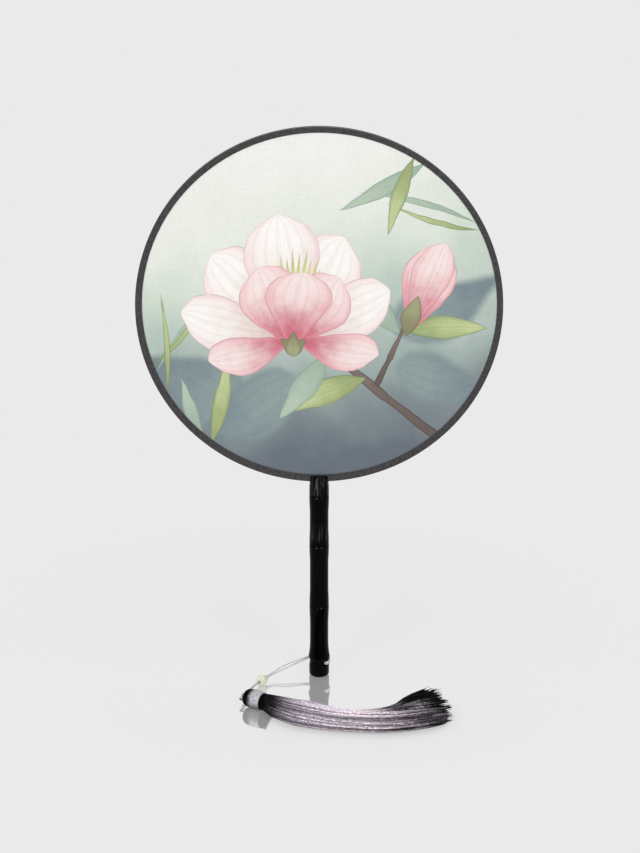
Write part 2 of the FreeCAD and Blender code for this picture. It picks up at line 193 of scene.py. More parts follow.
def brush_shape(name, profile, blur=1, ink=0.5):
    # A node group that lays one painted shape over the colours painted before it. The shape runs from its
    # base along its length, and the profile gives its half width from base to tip, as shares. Blur softens
    # its edge. Map ranges are given as a value, the range it comes from and the range it is turned into.
    group = bpy.data.node_groups.new(name, "ShaderNodeTree")
    add = partial(add_node, group)
    for kind, labels in (
        ("Color", ("Under", "Root", "Tip", "Edge", "Ink")),
        ("Vector", ("Place", "Base", "Turn", "Size")),
        ("Float", ("Bow", "Line", "Flush", "Pigment")),
    ):
        for label in labels:
            group.interface.new_socket(name=label, in_out="INPUT", socket_type=f"NodeSocket{kind}")
    group.interface.new_socket(name="Colour", in_out="OUTPUT", socket_type="NodeSocketColor")
    given = group.nodes.new("NodeGroupInput").outputs
    local = add(
        "Mapping", given["Place"], given["Base"], given["Turn"], given["Size"], vector_type="TEXTURE")
    along, across, _ = add("SeparateXYZ", local).node.outputs
    squared = add("Math MULTIPLY", along, along)
    bowed = add("Math MULTIPLY_ADD", squared, given["Bow"], across)
    aside = add("Math ABSOLUTE", bowed)
    width = add("FloatCurve", {"Value": along})
    curve = width.node.mapping
    curve.extend = "HORIZONTAL"
    for at, share in profile[1:-1]:
        curve.curves[0].points.new(at, share)
    curve.curves[0].points[0].location = profile[0]
    curve.curves[0].points[-1].location = profile[-1]
    curve.update()
    inside = add("Math SUBTRACT", width, aside)
    soft_edge = add("Math MULTIPLY", given["Line"], blur)
    cover = add("MapRange", inside, 0, soft_edge, **feathered)
    line_end = add("Math MULTIPLY", given["Line"], outline_fade)
    outline = add("MapRange", inside, given["Line"], line_end, ink, 0, **feathered)
    load = add("MapRange", given["Pigment"], 0, 1, *pigment_loads, clamp=False)
    outline = add("Math MULTIPLY", outline, load)
    rib = add("MapRange", aside, 0, given["Line"], rib_ink * ink, 0, **feathered)
    spread = add("Math DIVIDE", aside, width)
    spread = add("Math MINIMUM", spread, 1)
    spread_side = add("Math DIVIDE", bowed, width)
    flush = add("Math POWER", spread, flush_edge)
    flush = add("Math MULTIPLY", flush, given["Flush"])
    veins = add("Math MULTIPLY", spread_side, vein_turns)
    veins = add("Math SINE", veins)
    veins = add("MapRange", veins, *vein_reach, 0, vein_ink, **feathered)
    mottled = add("Math MULTIPLY_ADD", given["Pigment"], blush_waver, along)
    blush = add("MapRange", mottled, *blush_reach, **feathered)
    colour = add("Mix", {0: blush, 6: given["Root"], 7: given["Tip"]}, **colour_mix)
    for share, tone in ((flush, "Edge"), (veins, "Ink"), (rib, "Ink"), (outline, "Ink")):
        colour = add("Mix", {0: share, 6: colour, 7: given[tone]}, **colour_mix)
    colour = add("Mix", {0: cover, 6: given["Under"], 7: colour}, **colour_mix)
    group.links.new(colour, group.nodes.new("NodeGroupOutput").inputs["Colour"])
    return group


petal_widths = (
    (0, 0), (0.03, 0.2), (0.25, 0.54), (0.48, 0.88), (0.65, 1), (0.82, 0.84), (0.94, 0.42), (1, 0))
leaf_widths = ((0, 0), (0.04, 0.16), (0.3, 0.85), (0.45, 1), (0.7, 0.7), (1, 0))
twig_widths = ((0, 0), (0.015, 1), (0.4, 0.8), (0.42, 0.95), (0.75, 0.62), (0.98, 0.5), (1, 0))
petal_brush = brush_shape("petal_brush", petal_widths)
mist_brush = brush_shape("mist_brush", petal_widths, blur=18, ink=0)
leaf_brush = brush_shape("leaf_brush", leaf_widths)
twig_brush = brush_shape("twig_brush", twig_widths)

# Paints, each with its brush and the colours of root, tip, edge and ink, and the shapes in the order they are
# laid: paint, base across and up from the face's middle, heading in degrees, length, half width, and bow as a
# share of the half width. In millimetres, as are the brush's line and the patches of the wash.
white_petal = (petal_brush, "#e3cbc4", "#fcf9f5", "#f2d3d5", "#a98288")
pink_petal = (petal_brush, "#cf6f80", "#f8e6e3", "#eeb0b8", "#a65f6b")
calyx = (petal_brush, "#8f8a6a", "#a7a982", "#7c7d5c", "#5d5c48")
bud_calyx = (leaf_brush, *calyx[1:])
olive_leaf = (leaf_brush, "#9fae78", "#c6d19a", "#7f936a", "#5f7358")
far_leaf = (mist_brush, "#79888f", "#8fa09f", "#717f88", "#68767f")
misty_leaf = (leaf_brush, "#a4b8a6", "#b9cab6", "#92aa9c", "#7b9489")
stamen = (leaf_brush, "#c9d27a", "#e6ea9c", "#b3bf62", "#8b944c")
bark = (twig_brush, "#6b5f5a", "#85786f", "#4f4745", "#3b3434")
painted_shapes = (
    (far_leaf, (-122, -34), -24, 92, 30, 0.5),
    (far_leaf, (-92, -100), 26, 96, 26, -0.5),
    (far_leaf, (124, 26), 218, 84, 25, 0.5),
    (far_leaf, (126, -62), 168, 78, 22, 0.4),
    (misty_leaf, (-112, -46), 62, 88, 2.4, 7),
    (olive_leaf, (-114, -40), 40, 70, 2.2, -6),
    (olive_leaf, (-104, -62), 84, 76, 2.2, -5),
    (misty_leaf, (108, 60), 152, 84, 2.4, -8),
    (olive_leaf, (110, 56), 176, 66, 2.2, 7),
    (misty_leaf, (72, 102), -146, 66, 6, 0.9),
    (olive_leaf, (64, 106), -112, 56, 5.5, -0.8),
    (olive_leaf, (-74, -96), 74, 66, 6, -0.9),
    (misty_leaf, (-80, -92), 112, 46, 5, 0.8),
    (bark, (92, -98), 142, 142, 3.6, 1.6),
    (bark, (40, -54), 64, 54, 2.4, -1.2),
    (olive_leaf, (60, -14), 8, 56, 9, 0.7),
    (misty_leaf, (56, -16), 132, 44, 8, 0.6),
    (olive_leaf, (34, -48), 196, 64, 9.5, -0.8),
    (misty_leaf, (6, -30), -118, 58, 9, 0.7),
    (pink_petal, (63, -12), 78, 60, 15, 0.3),
    (pink_petal, (64, -12), 60, 58, 13, -0.4),
    (pink_petal, (63, -12), 70, 64, 14, 0.1),
    (bud_calyx, (60, -18), 76, 30, 7, 0.2),
    (white_petal, (-18, -14), 140, 76, 24, 0.25),
    (white_petal, (-16, -14), 58, 74, 24, -0.25),
    (white_petal, (-18, -12), 98, 80, 26, 0.1),
    (white_petal, (-22, -16), 176, 72, 20, 0.5),
    (white_petal, (-12, -16), 18, 68, 20, -0.5),
    *((stamen, (-17, -10), 84 + 6 * turn, 54 + 5 * (turn % 2) - 2 * abs(turn), 1.7, 0.5 * turn)
      for turn in range(-4, 5)),
    (pink_petal, (-20, -20), 118, 54, 21, 0.3),
    (pink_petal, (-14, -20), 50, 52, 20, -0.3),
    (pink_petal, (-17, -22), 84, 50, 23, 0.1),
    (pink_petal, (-20, -20), 208, 56, 15, 0.8),
    (pink_petal, (-12, -20), -24, 54, 15, -0.8),
    (calyx, (-25, -20), -38, 15, 5.5, 0),
    (calyx, (-8, -20), 218, 15, 5.5, 0),
    (calyx, (-16.5, -14), -90, 19, 5.5, 0),
)
brush_line = 0.45
edge_flush = 0.7
shake_patch = 16
shake_reach = 2.4
pigment_patch = 13
wash_patch = 70
wash_slope = -0.22
wash_waver = 110
wash_heights = (-60, 165)
wash_tones = (
    (0, "#69727b"), (0.16, "#828d91"), (0.32, "#9daca8"), (0.48, "#b8c7be"), (0.64, "#d2ddcf"),
    (0.8, "#e6eae1"), (1, "#eeefea"),
)
silk_thread = 0.00055
silk_relief = 0.0001


def paint_silk(add, place):
    # The whole painting as one colour, worked out in millimetres from the middle of the face.
    low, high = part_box("front_silk")
    middle = (low + high) / 2
    place = add("Mapping", {
        "Vector": place, "Location": (0, 0, -1000 * middle.z), "Scale": (1000, 1000, 1000)})
    right, _, up = add("SeparateXYZ", place).node.outputs
    place = add("CombineXYZ", right, up)
    shake = add("TexNoise", {"Vector": place, "Scale": 1 / shake_patch, "Detail": 3}, out=1)
    reach = (shake_reach, shake_reach, 0)
    place = add("VectorMath MULTIPLY_ADD", shake, reach, place)
    cloud = add("TexNoise", {"Vector": place, "Scale": 1 / wash_patch, "Detail": 4})
    pigment = add("TexNoise", {"Vector": place, "Scale": 1 / pigment_patch, "Detail": 4, "Roughness": 0.55})
    pigment = add("MapRange", pigment, 0.3, 0.7, **feathered)
    tilt = add("Math MULTIPLY_ADD", right, wash_slope, up)
    level = add("Math MULTIPLY_ADD", cloud, wash_waver, tilt)
    level = add("MapRange", level, *wash_heights, clamp=False)
    colour = add("ValToRGB", level, stops=wash_tones)
    for (brush, *tones), base, turn, length, half_width, bow in painted_shapes:
        colour = add("Group", {
            "Under": colour, "Place": place, "Pigment": pigment, "Base": (*base, 0),
            "Turn": (0, 0, radians(turn)), "Size": (length, half_width, 1), "Bow": bow,
            "Line": brush_line / half_width, "Flush": edge_flush,
            **dict(zip(("Root", "Tip", "Edge", "Ink"), tones)),
        }, node_tree=brush)
    return colour


def silk_material(name, show):
    # Fine silk: a soft sheen over matt cloth, with slubs along both sets of threads. The threads are drawn
    # coarser than real ones, which are too fine to show.
    material, add, shader, place = new_material(
        name, Roughness=0.7, Specular_IOR_Level=0.25, Sheen_Weight=0.15, Sheen_Roughness=0.4)
    painting = paint_silk(add, place)
    slubs = []
    for stretch in ((1, 1, 0.06), (0.06, 1, 1)):
        threads = add("Mapping", {"Vector": place, "Scale": stretch})
        slubs.append(add("TexNoise", {
            "Vector": threads, "Scale": 1 / silk_thread, "Detail": 2, "Roughness": 0.6}))
    weave = add("Math ADD", slubs[0], slubs[1])
    tone = add("MapRange", weave, 0.6, 1.4, 0.93, 1.05, clamp=False)
    ground = add("Mix", {0: show, 6: "#eeeae0", 7: painting}, **colour_mix)
    colour = add("VectorMath MULTIPLY", ground, tone)
    relief = add("Bump", {"Height": weave, "Strength": 0.25, "Distance": silk_relief})
    plug(shader, Base_Color=colour, Normal=relief)
    return material


for side, show in (("front", 1), ("back", 0.3)):
    silk = silk_disc(f"{side}_silk_cloth", f"{side}_silk")
    across = silk.dimensions.x
    finish_piece(silk, silk_material(f"{side}_painted_silk", show), "fan", f"{side}_silk")


# Binding: a strip of charcoal cloth tape, folded over the edges of the silks and the hoop all the way round
# and glued. It is a channel with a rounded back and two lips that lie flat on the silks.
binding_sides = 224
binding_wall = 0.00038
binding_lip = 0.0045
binding_round = 0.0008
lip_shift = (0.0002, 0, 0.0007)
low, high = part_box("rim_binding")
binding_middle = (low + high) / 2
binding_radius = (high.x - low.x) / 2


def select_where(piece, test):
    # In edit mode, selects the vertices, and the edges and faces between them, whose place passes the test.
    mesh = bmesh.from_edit_mesh(piece.data)
    for item in (*mesh.faces, *mesh.edges, *mesh.verts):
        item.select = False
    for vertex in mesh.verts:
        vertex.select = test(vertex.co)
    mesh.select_flush(True)
    bmesh.update_edit_mesh(piece.data)


def smooth_below(piece, crease):
    # Smooths the piece, but for the edges that are sharper than the crease, in degrees.
    bpy.ops.object.select_all(action="DESELECT")
    piece.select_set(True)
    bpy.context.view_layer.objects.active = piece
    bpy.ops.object.shade_smooth_by_angle(angle=radians(crease))


binding = start_piece(
    bpy.ops.mesh.primitive_cylinder_add, "rim_tape", vertices=binding_sides, radius=binding_radius,
    depth=high.y - low.y, end_fill_type="NOTHING", location=binding_middle, rotation=(pi / 2, 0, 0))
bpy.ops.object.mode_set(mode="EDIT")
lip_scale = (binding_radius - binding_lip) / binding_radius
for side in (-1, 1):
    select_where(binding, lambda place: side * (place.y - binding_middle.y) > 0 and
                 (place - binding_middle).length > binding_radius)
    bpy.ops.mesh.extrude_region_move()
    bpy.ops.transform.resize(value=(lip_scale, 1, lip_scale), center_override=binding_middle)
    bpy.ops.transform.translate(value=lip_shift)
select_where(binding, lambda place: (place - binding_middle).length > binding_radius)
mesh = bmesh.from_edit_mesh(binding.data)
for edge in mesh.edges:
    if edge.select and abs(edge.verts[0].co.y - edge.verts[1].co.y) > binding_round:
        edge.select = False
bmesh.update_edit_mesh(binding.data)
bpy.ops.mesh.bevel(offset=binding_round, segments=3, affect="EDGES")
bpy.ops.mesh.select_all(action="SELECT")
bpy.ops.mesh.normals_make_consistent(inside=False)
bpy.ops.object.mode_set(mode="OBJECT")
apply_modifier(binding, "SOLIDIFY", thickness=binding_wall, offset=-1)
smooth_below(binding, 40)

# Charcoal cotton tape: a plain weave seen as small rows round the rim and across it, with a dull dusty face.
# The rows are twice as coarse as real ones, so that they show.
tape_thread = 0.0007
tape_relief = 0.00012
tape_rows = round(2 * binding_radius / tape_thread)
dust_patch = 0.0022
tape, add, shader, place = new_material(
    "charcoal_cotton_tape", Roughness=0.9, Specular_IOR_Level=0.2, Sheen_Weight=0.25, Sheen_Roughness=0.5)
place = add("Mapping", {"Vector": place, "Location": -binding_middle})
right, deep, up = add("SeparateXYZ", place).node.outputs
angle = add("Math ARCTAN2", up, right)
rows = add("Math MULTIPLY", angle, pi * tape_rows)
outward = add("VectorMath LENGTH", place, out="Value")
girth = add("Math SUBTRACT", outward, deep)
lines = add("Math MULTIPLY", girth, 2 * pi / tape_thread)
rows = add("Math SINE", rows)
lines = add("Math SINE", lines)
weave = add("Math MULTIPLY", rows, lines)
dust = add("TexNoise", {"Vector": place, "Scale": 1 / dust_patch, "Detail": 4, "Roughness": 0.65})
tone = add("Math MULTIPLY_ADD", weave, 0.16, dust)
tone = add("MapRange", tone, 0.25, 0.8)
colour = add("Mix", {0: tone, 6: "#2b2a2b", 7: "#555254"}, **colour_mix)
relief = add("Bump", {"Height": weave, "Strength": 0.5, "Distance": tape_relief})
plug(shader, Base_Color=colour, Normal=relief)
finish_piece(binding, tape, "fan", "rim_binding")


# Handle: a stem of black lacquered bamboo with ringed nodes, thickened at its butt, where a groove holds the
# cord. Its top is slotted, and the two jaws grip the rim.
handle_sides = 72
butt_radius = 0.0072
butt_round = 0.0022
stem_radius = 0.0066
node_radius = 0.007
node_places = (0.05505, 0.10155, 0.13905)
node_ridge = (
    (-0.012, 0), (-0.0085, 0.45), (-0.005, 0.8), (-0.0018, 0.88), (-0.0007, 1), (0, 0), (0.0003, 0.8),
    (0.005, 0.75), (0.0085, 0.4), (0.012, 0),
)
seat_height = 0.15
jaw_height = 0.1542
jaw_round = 0.001
slot_half = 0.00225
slot_foot = 0.14995
cord_hole_height = 0.0112
cord_hole_radius = 0.00125
cord_hole_azimuth = radians(130)
cutter_width = 0.03
cutter_depth = 0.02
groove_radius = 0.0069


def turned(name, sides, profile):
    # A round piece along +Z, grown from a disc by extruding it and resizing each new ring. The profile is a
    # list of (height, radius).
    height, radius = profile[0]
    piece = start_piece(bpy.ops.mesh.primitive_circle_add, name, vertices=sides, radius=radius,
                        fill_type="NGON", location=(0, 0, height))
    bpy.ops.object.mode_set(mode="EDIT")
    bpy.ops.mesh.select_all(action="SELECT")
    for next_height, next_radius in profile[1:]:
        bpy.ops.mesh.extrude_region_move(TRANSFORM_OT_translate={"value": (0, 0, next_height - height)})
        grow = next_radius / radius
        bpy.ops.transform.resize(value=(grow, grow, 1), center_override=(0, 0, next_height))
        height, radius = next_height, next_radius
    bpy.ops.mesh.select_all(action="SELECT")
    bpy.ops.mesh.normals_make_consistent(inside=False)
    bpy.ops.object.mode_set(mode="OBJECT")
    return piece


def round_corner(height, radius, rounding, start, turn, steps=6):
    # Points of a quarter round about a centre, from a start angle, in degrees.
    angles = [radians(start + turn * step / steps) for step in range(steps + 1)]
    return [(height + rounding * sin(angle), radius + rounding * cos(angle)) for angle in angles]


handle_profile = round_corner(butt_round, butt_radius - butt_round, butt_round, -90, 90)
handle_profile += [
    (0.0085, butt_radius), (0.00904, groove_radius), (0.0133, groove_radius),
    (0.0139, 0.0073), (0.0143, 0.00765), (0.0147, 0.00775), (0.0152, 0.00768), (0.0165, 0.00743),
    (0.0195, 0.007), (0.0235, 0.0067), (0.0275, stem_radius),
]
for place in node_places:
    for away, share in node_ridge:
        handle_profile.append((place + away, stem_radius + share * (node_radius - stem_radius)))
handle_profile[-1] = (seat_height - 0.002, stem_radius)
handle_profile += [
    (seat_height - 0.0008, 0.00672), (seat_height, 0.0068),
    (seat_height + 0.0008, 0.00672), (seat_height + 0.002, stem_radius),
]
handle_profile += round_corner(jaw_height - jaw_round, stem_radius - jaw_round, jaw_round, 0, 90)
handle_profile = [(floor_height + up, radius) for up, radius in handle_profile]
handle = turned("lacquered_handle", handle_sides, handle_profile)


def cut_away(piece, tool):
    apply_modifier(piece, "BOOLEAN", object=tool, operation="DIFFERENCE", solver="EXACT")
    bpy.data.objects.remove(tool)


cut_away(handle, start_piece(
    bpy.ops.mesh.primitive_cube_add, "slot_cutter", size=1, scale=(cutter_width, 2 * slot_half, cutter_depth),
    location=(0, 0, floor_height + slot_foot + cutter_depth / 2)))
cut_away(handle, start_piece(
    bpy.ops.mesh.primitive_cylinder_add, "hole_cutter", vertices=32, radius=cord_hole_radius,
    depth=cutter_depth, location=(0, 0, floor_height + cord_hole_height),
    rotation=(0, pi / 2, cord_hole_azimuth)))
smooth_below(handle, 17)

# Black lacquer over bamboo: a deep black coat that is glossy on the ridges, with the stem's long fibres felt
# through it as faint ripples. Grey streaks above the middle node and between the top node and the rim are a
# painted highlight. Each height in the table has the share of painted highlight there.
fibre_width = 0.0011
lacquer_relief = 0.0002
rub_patch = 0.004
painted_highlight_heights = (
    (0, 0), (0.105, 0), (0.108, 0.45), (0.116, 0.25), (0.121, 0), (0.14, 0), (0.1415, 0.9), (0.148, 1),
    (jaw_height, 0.5),
)
lacquer, add, shader, place = new_material("black_lacquered_bamboo", Specular_IOR_Level=0.05)
stretched = add("Mapping", {"Vector": place, "Scale": (1, 1, 0.05)})
ripple = add("TexNoise", {"Vector": stretched, "Scale": 1 / fibre_width, "Detail": 3})
rub = add("TexNoise", {"Vector": place, "Scale": 1 / rub_patch, "Detail": 5, "Roughness": 0.7})
gloss = add("MapRange", rub, 0.35, 0.75, 0.06, 0.16)
colour = add("Mix", {0: ripple, 6: "#000000", 7: "#030303"}, **colour_mix)
up = add("SeparateXYZ", place, out=2)
up = add("MapRange", up, floor_height, floor_height + jaw_height)
# Painted highlight: grey streaks along the fibres at these heights stand for the lamps' reflections.
painted_highlight = add("ValToRGB", up, stops=[
    (at / jaw_height, (share, share, share, 1)) for at, share in painted_highlight_heights])
highlight_streaks = add("MapRange", ripple, 0.5, 0.68)
painted_highlight = add("Math MULTIPLY", painted_highlight, highlight_streaks)
colour = add("Mix", {0: painted_highlight, 6: colour, 7: "#565455"}, **colour_mix)
relief = add("Bump", {"Height": ripple, "Strength": 0.35, "Distance": lacquer_relief})
plug(shader, Base_Color=colour, Roughness=gloss, Normal=relief)
finish_piece(handle, lacquer, "fan", "handle")


# Cord: one pale silky cord of three plies, doubled. Its bight goes through the hole near the butt, round the
# handle and over itself, as a hitch, and its two strands run on down to the surface.
cord_radius = 0.0005
cord_lay = 0.0032
strand_offset = 0.00055
wrap_radius = groove_radius + strand_offset
swing_radius = 0.0088
hitch_cord_radius = 0.00066
bight_lift = 0.0017
bight_reach = 0.00145
wrap_step = 45
ply_hollow = 0.14
cap_leans = (0.5, 1, 1.35)
spline_steps = 40


def spline_points(points):
    # The smooth line of a cord: a spline with these control points, read back as a row of points along it.
    curve = bpy.data.curves.new("route", "CURVE")
    curve.dimensions = "3D"
    curve.resolution_u = spline_steps
    spline = curve.splines.new("NURBS")
    spline.points.add(len(points) - 1)
    for spot, point in zip(spline.points, points):
        spot.co = (*point, 1)
    spline.order_u = 3
    spline.use_endpoint_u = True
    holder = bpy.data.objects.new("route", curve)
    bpy.context.scene.collection.objects.link(holder)
    mesh = bpy.data.meshes.new_from_object(holder)
    line = [vertex.co.copy() for vertex in mesh.vertices]
    bpy.data.objects.remove(holder)
    bpy.data.meshes.remove(mesh)
    return line


def tube_faces(first, rings, sides, closed=False):
    # The faces of a tube whose points go round ring by ring, with a cap on each end unless it is closed.
    faces = []
    for ring in range(rings if closed else rings - 1):
        here, there = first + ring * sides, first + (ring + 1) % rings * sides
        for corner in range(sides):
            beside = (corner + 1) % sides
            faces.append((here + corner, here + beside, there + beside, there + corner))
    if not closed:
        last = first + (rings - 1) * sides
        faces += [tuple(range(first, first + sides))[::-1], tuple(range(last, last + sides))]
    return faces


def mesh_piece(name, vertices, faces, **attributes):
    # A smooth piece from its points and faces. Each attribute is a number kept on every point.
    mesh = bpy.data.meshes.new(name)
    mesh.from_pydata(vertices, [], faces)
    for label, values in attributes.items():
        mesh.attributes.new(label, "FLOAT", "POINT").data.foreach_set("value", values)
    mesh.shade_smooth()
    piece = bpy.data.objects.new(name, mesh)
    bpy.context.scene.collection.objects.link(piece)
    return piece


def laid_cord(name, line, radius, lay, closed=False, plies=3, sides=12):
    # A tube along the line whose section has one lobe for each ply and turns once in each lay. Its ends are
    # rounded, or joined if it is closed.
    count = len(line)
    last = count if closed else count - 1
    passed = [0]
    for index in range(1, last + 1):
        passed.append(passed[-1] + (line[index % count] - line[index - 1]).length)
    turn_rate = 2 * pi / lay
    ways, sides_on = [], []
    for index in range(count):
        before = line[index - 1] if closed or index else line[0]
        after = line[(index + 1) % count] if closed or index < last else line[-1]
        ways.append((after - before).normalized())
    side = ways[0].orthogonal().normalized()
    for way in ways:
        side = (side - way * side.dot(way)).normalized()
        sides_on.append(side)
    if closed:
        side = (side - ways[0] * side.dot(ways[0])).normalized()
        slip = atan2(ways[0].dot(sides_on[0].cross(side)), side.dot(sides_on[0]))
        lobe_turn = 2 * pi / plies
        turn_rate = (round(passed[-1] * turn_rate / lobe_turn) * lobe_turn - slip) / passed[-1]
    rings = [(line[i], ways[i], sides_on[i], turn_rate * passed[i], 1) for i in range(count)]
    if not closed:
        caps = []
        for outward, (point, way, around, twist, _) in ((-1, rings[0]), (1, rings[-1])):
            caps.append([(point + outward * way * radius * sin(lean), way, around, twist, cos(lean))
                         for lean in cap_leans])
        rings = caps[0][::-1] + rings + caps[1]
    vertices = []
    for point, way, around, twist, share in rings:
        other = way.cross(around)
        for corner in range(sides):
            angle = 2 * pi * corner / sides
            reach = share * radius * (1 - ply_hollow + ply_hollow * cos(plies * angle))
            angle += twist
            vertices.append(point + (around * cos(angle) + other * sin(angle)) * reach)
    # Each point keeps its lobe, 1 on a ply and 0 in a hollow, which the cord's colour uses for painted shade.
    lobes = [cos(plies * 2 * pi * corner / sides) / 2 + 0.5 for corner in range(sides)]
    return mesh_piece(name, vertices, tube_faces(0, len(rings), sides, closed), lobe=lobes * len(rings))


# Silky cord: bleached thread with a soft shine along its plies and painted shade in the hollows between them.
fuzz_size = 0.0004
cord_relief = 0.0001
pale_cord, add, shader, place = new_material(
    "bleached_silk_cord", Roughness=0.42, Specular_IOR_Level=0.5, Sheen_Weight=0.3, Sheen_Roughness=0.35)
fuzz = add("TexNoise", {"Vector": place, "Scale": 1 / fuzz_size, "Detail": 3})
# Painted shade: the colour turns grey in the hollows between the plies, where the lobe is low.
lobe = add("Attribute", attribute_name="lobe", out="Fac")
tone = add("Math MULTIPLY_ADD", fuzz, 0.7, -0.35)
tone = add("Math ADD", tone, lobe, use_clamp=True)
colour = add("Mix", {0: tone, 6: "#a19fa3", 7: "#f7f6f3"}, **colour_mix)
relief = add("Bump", {"Height": fuzz, "Strength": 0.2, "Distance": cord_relief})
plug(shader, Base_Color=colour, Normal=relief)

hole_out = Vector((cos(cord_hole_azimuth), sin(cord_hole_azimuth), 0))
hole_aside = Vector((-hole_out.y, hole_out.x, 0))


def at_hole(out, aside, lift):
    return Vector((0, 0, floor_height + cord_hole_height + lift)) + hole_out * out + hole_aside * aside


def hitch_half(side):
    points = [at_hole(out, 0, side * strand_offset) for out in (swing_radius, 0, -wrap_radius)]
    corner_radius = wrap_radius / cos(radians(wrap_step / 2))
    for step in range(180 // wrap_step):
        turn = radians(180 + wrap_step * (step + 0.5))
        lift = strand_offset + (bight_lift - strand_offset) * (step + 0.5) * wrap_step / 180
        points.append(at_hole(corner_radius * cos(turn), corner_radius * sin(turn), side * lift))
    points.append(at_hole(wrap_radius, bight_reach, side * bight_lift))
    return points


hitch_line = spline_points(hitch_half(1) + hitch_half(-1)[::-1])
hitch = laid_cord("hitch_cord", hitch_line, hitch_cord_radius, cord_lay)
finish_piece(hitch, pale_cord, "fan", "cord_hitch")

# The strands' routes: points in metres, with heights above the surface.
strand_start = {
    "upper": at_hole(swing_radius, 0, strand_offset), "lower": at_hole(swing_radius, 0, -strand_offset)}
strand_route = {
    "upper": ((-0.0144, 0.0026, 0.0102), (-0.0249, -0.0032, 0.0089), (-0.0348, -0.0086, 0.00455),
              (-0.0467, -0.0271, 0.00455), (-0.0516, -0.0364, 0.0031), (-0.0531, -0.0409, 0.0046)),
    "lower": ((-0.0142, 0.0022, 0.0088), (-0.0246, -0.004, 0.0064), (-0.0348, -0.0086, 0.00345),
              (-0.0467, -0.0271, 0.00345), (-0.0516, -0.0364, 0.0017), (-0.0531, -0.0412, 0.0034)),
}
strands = {}
strand_lines = {}
for which, route in strand_route.items():
    points = [strand_start[which]] + [Vector((x, y, floor_height + up)) for x, y, up in route]
    strand_lines[which] = spline_points(points)
    strands[which] = laid_cord(f"{which}_strand", strand_lines[which], cord_radius, cord_lay)
    finish_piece(strands[which], pale_cord, "cord", f"cord_{which}")


# Knots and link: the two strands are tied in a small overhand knot above the bead and in another at their
# end, where the rest of the cord makes a loop for the tassel.
knot_steps = 120
ring_steps = 48


def knot_line(middle, axis, ring, lobe, length):
    # The path of an overhand knot, which winds twice round its axis while it weaves in and out three times.
    side = axis.orthogonal().normalized()
    other = axis.cross(side)
    line = []
    for step in range(knot_steps):
        angle = 2 * pi * step / knot_steps
        reach = ring + lobe * cos(3 * angle)
        around = side * cos(2 * angle) + other * sin(2 * angle)
        line.append(middle + around * reach + axis * length * sin(3 * angle))
    return line


def ring_line(middle, way, other, radius):
    # A ring of points in the plane of two directions.
    return [middle + (way * cos(angle) + other * sin(angle)) * radius
            for angle in (2 * pi * step / ring_steps for step in range(ring_steps))]


bead_axis = Vector((-0.540999, -0.841017, 0))
bead_middle = Vector((-0.041205, -0.018557, floor_height + 0.004))
bead_radius = 0.0039
bead_gap = 0.00025
bead_knot_half = 0.0011
bead_knot_middle = bead_middle - bead_axis * (bead_radius + bead_gap + bead_knot_half)
end_knot_middle = Vector((-0.0533, -0.0423, floor_height + 0.0045))
end_knot_axis = Vector((-0.25, -0.97, 0)).normalized()
end_knot_half = 0.0015
link_heading = radians(-101.5)
link_way = Vector((cos(link_heading), sin(link_heading), 0))
link_radius = 0.0018
link_gap = 0.00005
link_middle = end_knot_middle + link_way * (end_knot_half + link_gap + cord_radius + link_radius)
knot_pieces = {
    "bead_knot": knot_line(bead_knot_middle, bead_axis, ring=0.0012, lobe=0.0003, length=0.0006),
    "end_knot": knot_line(end_knot_middle, end_knot_axis, ring=0.0008, lobe=0.0003, length=0.0007),
    "end_link": ring_line(link_middle, link_way, Vector((0, 0, 1)), link_radius),
}
for node, line in knot_pieces.items():
    knot = laid_cord(f"{node}_cord", line, cord_radius, cord_lay, closed=True)
    finish_piece(knot, pale_cord, "cord", node)
    knot_pieces[node] = knot


# Bead: a ball of pale jade, drilled through for the two strands, with the hole's edges rounded, and polished.
# It isn't fixed, and slides a little way along the cord below its knot.
bead_bore = 0.00135
bead_edge_round = 0.0002
bead_edge = radians(40)


def lay_along(piece, middle, way, crease):
    # Turns a piece made along +Z to point this way, with its middle here, and smooths it.
    piece.data.transform(Matrix.Translation(middle) @ way.to_track_quat("Z", "Y").to_matrix().to_4x4())
    smooth_below(piece, crease)


bead = start_piece(
    bpy.ops.mesh.primitive_uv_sphere_add, "jade_ball", segments=64, ring_count=40, radius=bead_radius)
cut_away(bead, start_piece(
    bpy.ops.mesh.primitive_cylinder_add, "bore_cutter", vertices=48, radius=bead_bore, depth=3 * bead_radius))
apply_modifier(bead, "BEVEL", width=bead_edge_round, segments=3, limit_method="ANGLE", angle_limit=bead_edge)
lay_along(bead, bead_middle, bead_axis, 35)

# Pale jade: a waxy stone that light enters a little way, yellow green with whiter clouds and a polished face.
cloud_size = 0.003
jade, add, shader, place = new_material(
    "pale_jade", Roughness=0.14, IOR=1.61, Subsurface_Weight=0.5, Subsurface_Scale=0.0025,
    Subsurface_Radius=(1, 1, 0.7), Coat_Weight=0.2)
cloud = add("TexNoise", {"Vector": place, "Scale": 1 / cloud_size, "Detail": 5, "Distortion": 0.6})
cloud = add("MapRange", cloud, 0.3, 0.7)
colour = add("Mix", {0: cloud, 6: "#d6dbbc", 7: "#f3f4e2"}, **colour_mix)
plug(shader, Base_Color=colour)
finish_piece(bead, jade, "bead", "jade_bead")


